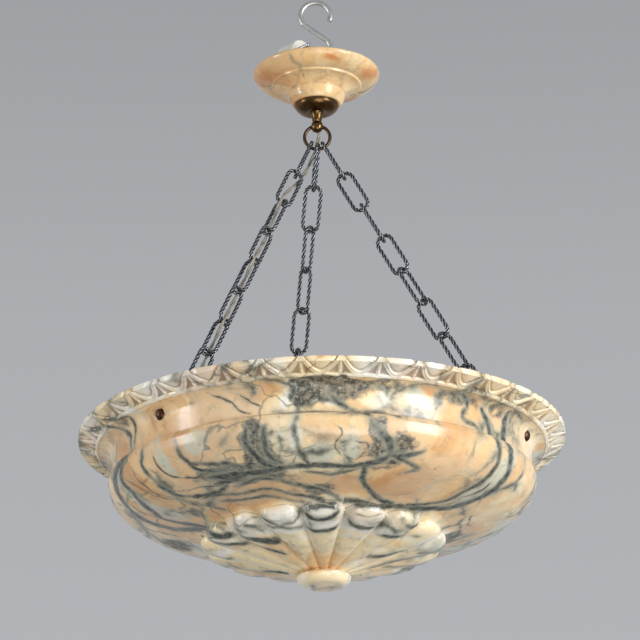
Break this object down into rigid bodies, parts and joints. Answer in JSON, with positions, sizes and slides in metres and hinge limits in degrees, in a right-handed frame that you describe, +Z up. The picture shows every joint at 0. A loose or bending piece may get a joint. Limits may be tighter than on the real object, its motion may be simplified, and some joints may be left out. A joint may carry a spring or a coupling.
{
  "type": "alabaster bowl pendant",
  "caption": "Carved alabaster bowl ceiling pendant hung by chains from a turned alabaster canopy and S-hook, with lampholders inside.",
  "frame": {"origin": "point inside the S-hook's upper loop where it bears on the ceiling hook", "axes": "+Z up, the front of the picture faces -Y, +X to the right seen from the front"},
  "size_m": [0.4799, 0.48, 0.6335],
  "materials": {
    "bowl_alabaster": "polished, veined cream and orange",
    "canopy_alabaster": "polished, thin grey veins",
    "zinc_steel": "zinc plated",
    "aged_brass": "aged brown, polished",
    "bulb_glass": "opal glass",
    "dark_bronze": "dark patinated bronze",
    "zinc_steel_wire": "dull zinc plated wire",
    "dark_twisted_steel": "gunmetal, twisted, waxed",
    "dark_steel": "dark steel",
    "flex_pvc": "clear grey flex",
    "spider_brass": "plain brass",
    "porcelain": "glazed porcelain",
    "white_plug_plastic": "glossy white",
    "lead_pvc": "white flex",
    "plug_pin_brass": "nickel free brass",
    "bronze_wire": "aged bronze"
  },
  "bodies": {
    "hook": {"suspension_hook": "zinc_steel_wire"},
    "rose": {"canopy_bail": "zinc_steel_wire", "threaded_tube": "zinc_steel", "tube_nut": "zinc_steel", "rose_washer": "zinc_steel", "alabaster_canopy": "canopy_alabaster", "brass_cup": "aged_brass", "plug_body": "white_plug_plastic", "plug_pin_1": "plug_pin_brass", "plug_pin_2": "plug_pin_brass", "plug_lead": "lead_pvc", "flex_upper": "flex_pvc"},
    "ring": {"suspension_ring": "bronze_wire"},
    "bowl": {"bolt_washer_back": "zinc_steel", "bolt_washer_left": "zinc_steel", "bolt_washer_right": "zinc_steel", "bulb_1": "bulb_glass", "bulb_2": "bulb_glass", "bulb_3": "bulb_glass", "button_nut_back": "dark_bronze", "button_nut_left": "dark_bronze", "button_nut_right": "dark_bronze", "chain_back_link_1": "dark_twisted_steel", "chain_back_link_2": "dark_twisted_steel", "chain_back_link_3": "dark_twisted_steel", "chain_back_link_4": "dark_twisted_steel", "chain_back_link_5": "dark_twisted_steel", "chain_back_link_6": "dark_twisted_steel", "chain_back_link_7": "dark_twisted_steel", "chain_back_link_8": "dark_twisted_steel", "chain_back_link_9": "dark_twisted_steel", "chain_left_link_1": "dark_twisted_steel", "chain_left_link_2": "dark_twisted_steel", "chain_left_link_3": "dark_twisted_steel", "chain_left_link_4": "dark_twisted_steel", "chain_left_link_5": "dark_twisted_steel", "chain_left_link_6": "dark_twisted_steel", "chain_left_link_7": "dark_twisted_steel", "chain_left_link_8": "dark_twisted_steel", "chain_left_link_9": "dark_twisted_steel", "chain_right_link_1": "dark_twisted_steel", "chain_right_link_2": "dark_twisted_steel", "chain_right_link_3": "dark_twisted_steel", "chain_right_link_4": "dark_twisted_steel", "chain_right_link_5": "dark_twisted_steel", "chain_right_link_6": "dark_twisted_steel", "chain_right_link_7": "dark_twisted_steel", "chain_right_link_8": "dark_twisted_steel", "chain_right_link_9": "dark_twisted_steel", "eye_bolt_back": "dark_steel", "eye_bolt_left": "dark_steel", "eye_bolt_right": "dark_steel", "lampholder_1": "porcelain", "lampholder_2": "porcelain", "lampholder_3": "porcelain", "alabaster_bowl": "bowl_alabaster", "lamp_spider": "spider_brass", "hub_cover": "spider_brass", "flex_in_chain": "flex_pvc"}
  },
  "joints": [
    {"name": "rose_swing", "type": "hinge", "parent": "hook", "child": "rose", "pos_m": [0, 0, -0.05075], "axis": [0, 1, 0], "range_deg": [-20, 20]},
    {"name": "ring_swing", "type": "hinge", "parent": "rose", "child": "ring", "pos_m": [0, 0, -0.13835], "axis": [1, 0, 0], "range_deg": [-25, 25], "deforming": ["flex_upper"]},
    {"name": "bowl_swing", "type": "hinge", "parent": "ring", "child": "bowl", "pos_m": [0, 0, -0.15056], "axis": [0, 1, 0], "range_deg": [-20, 20]}
  ]
}
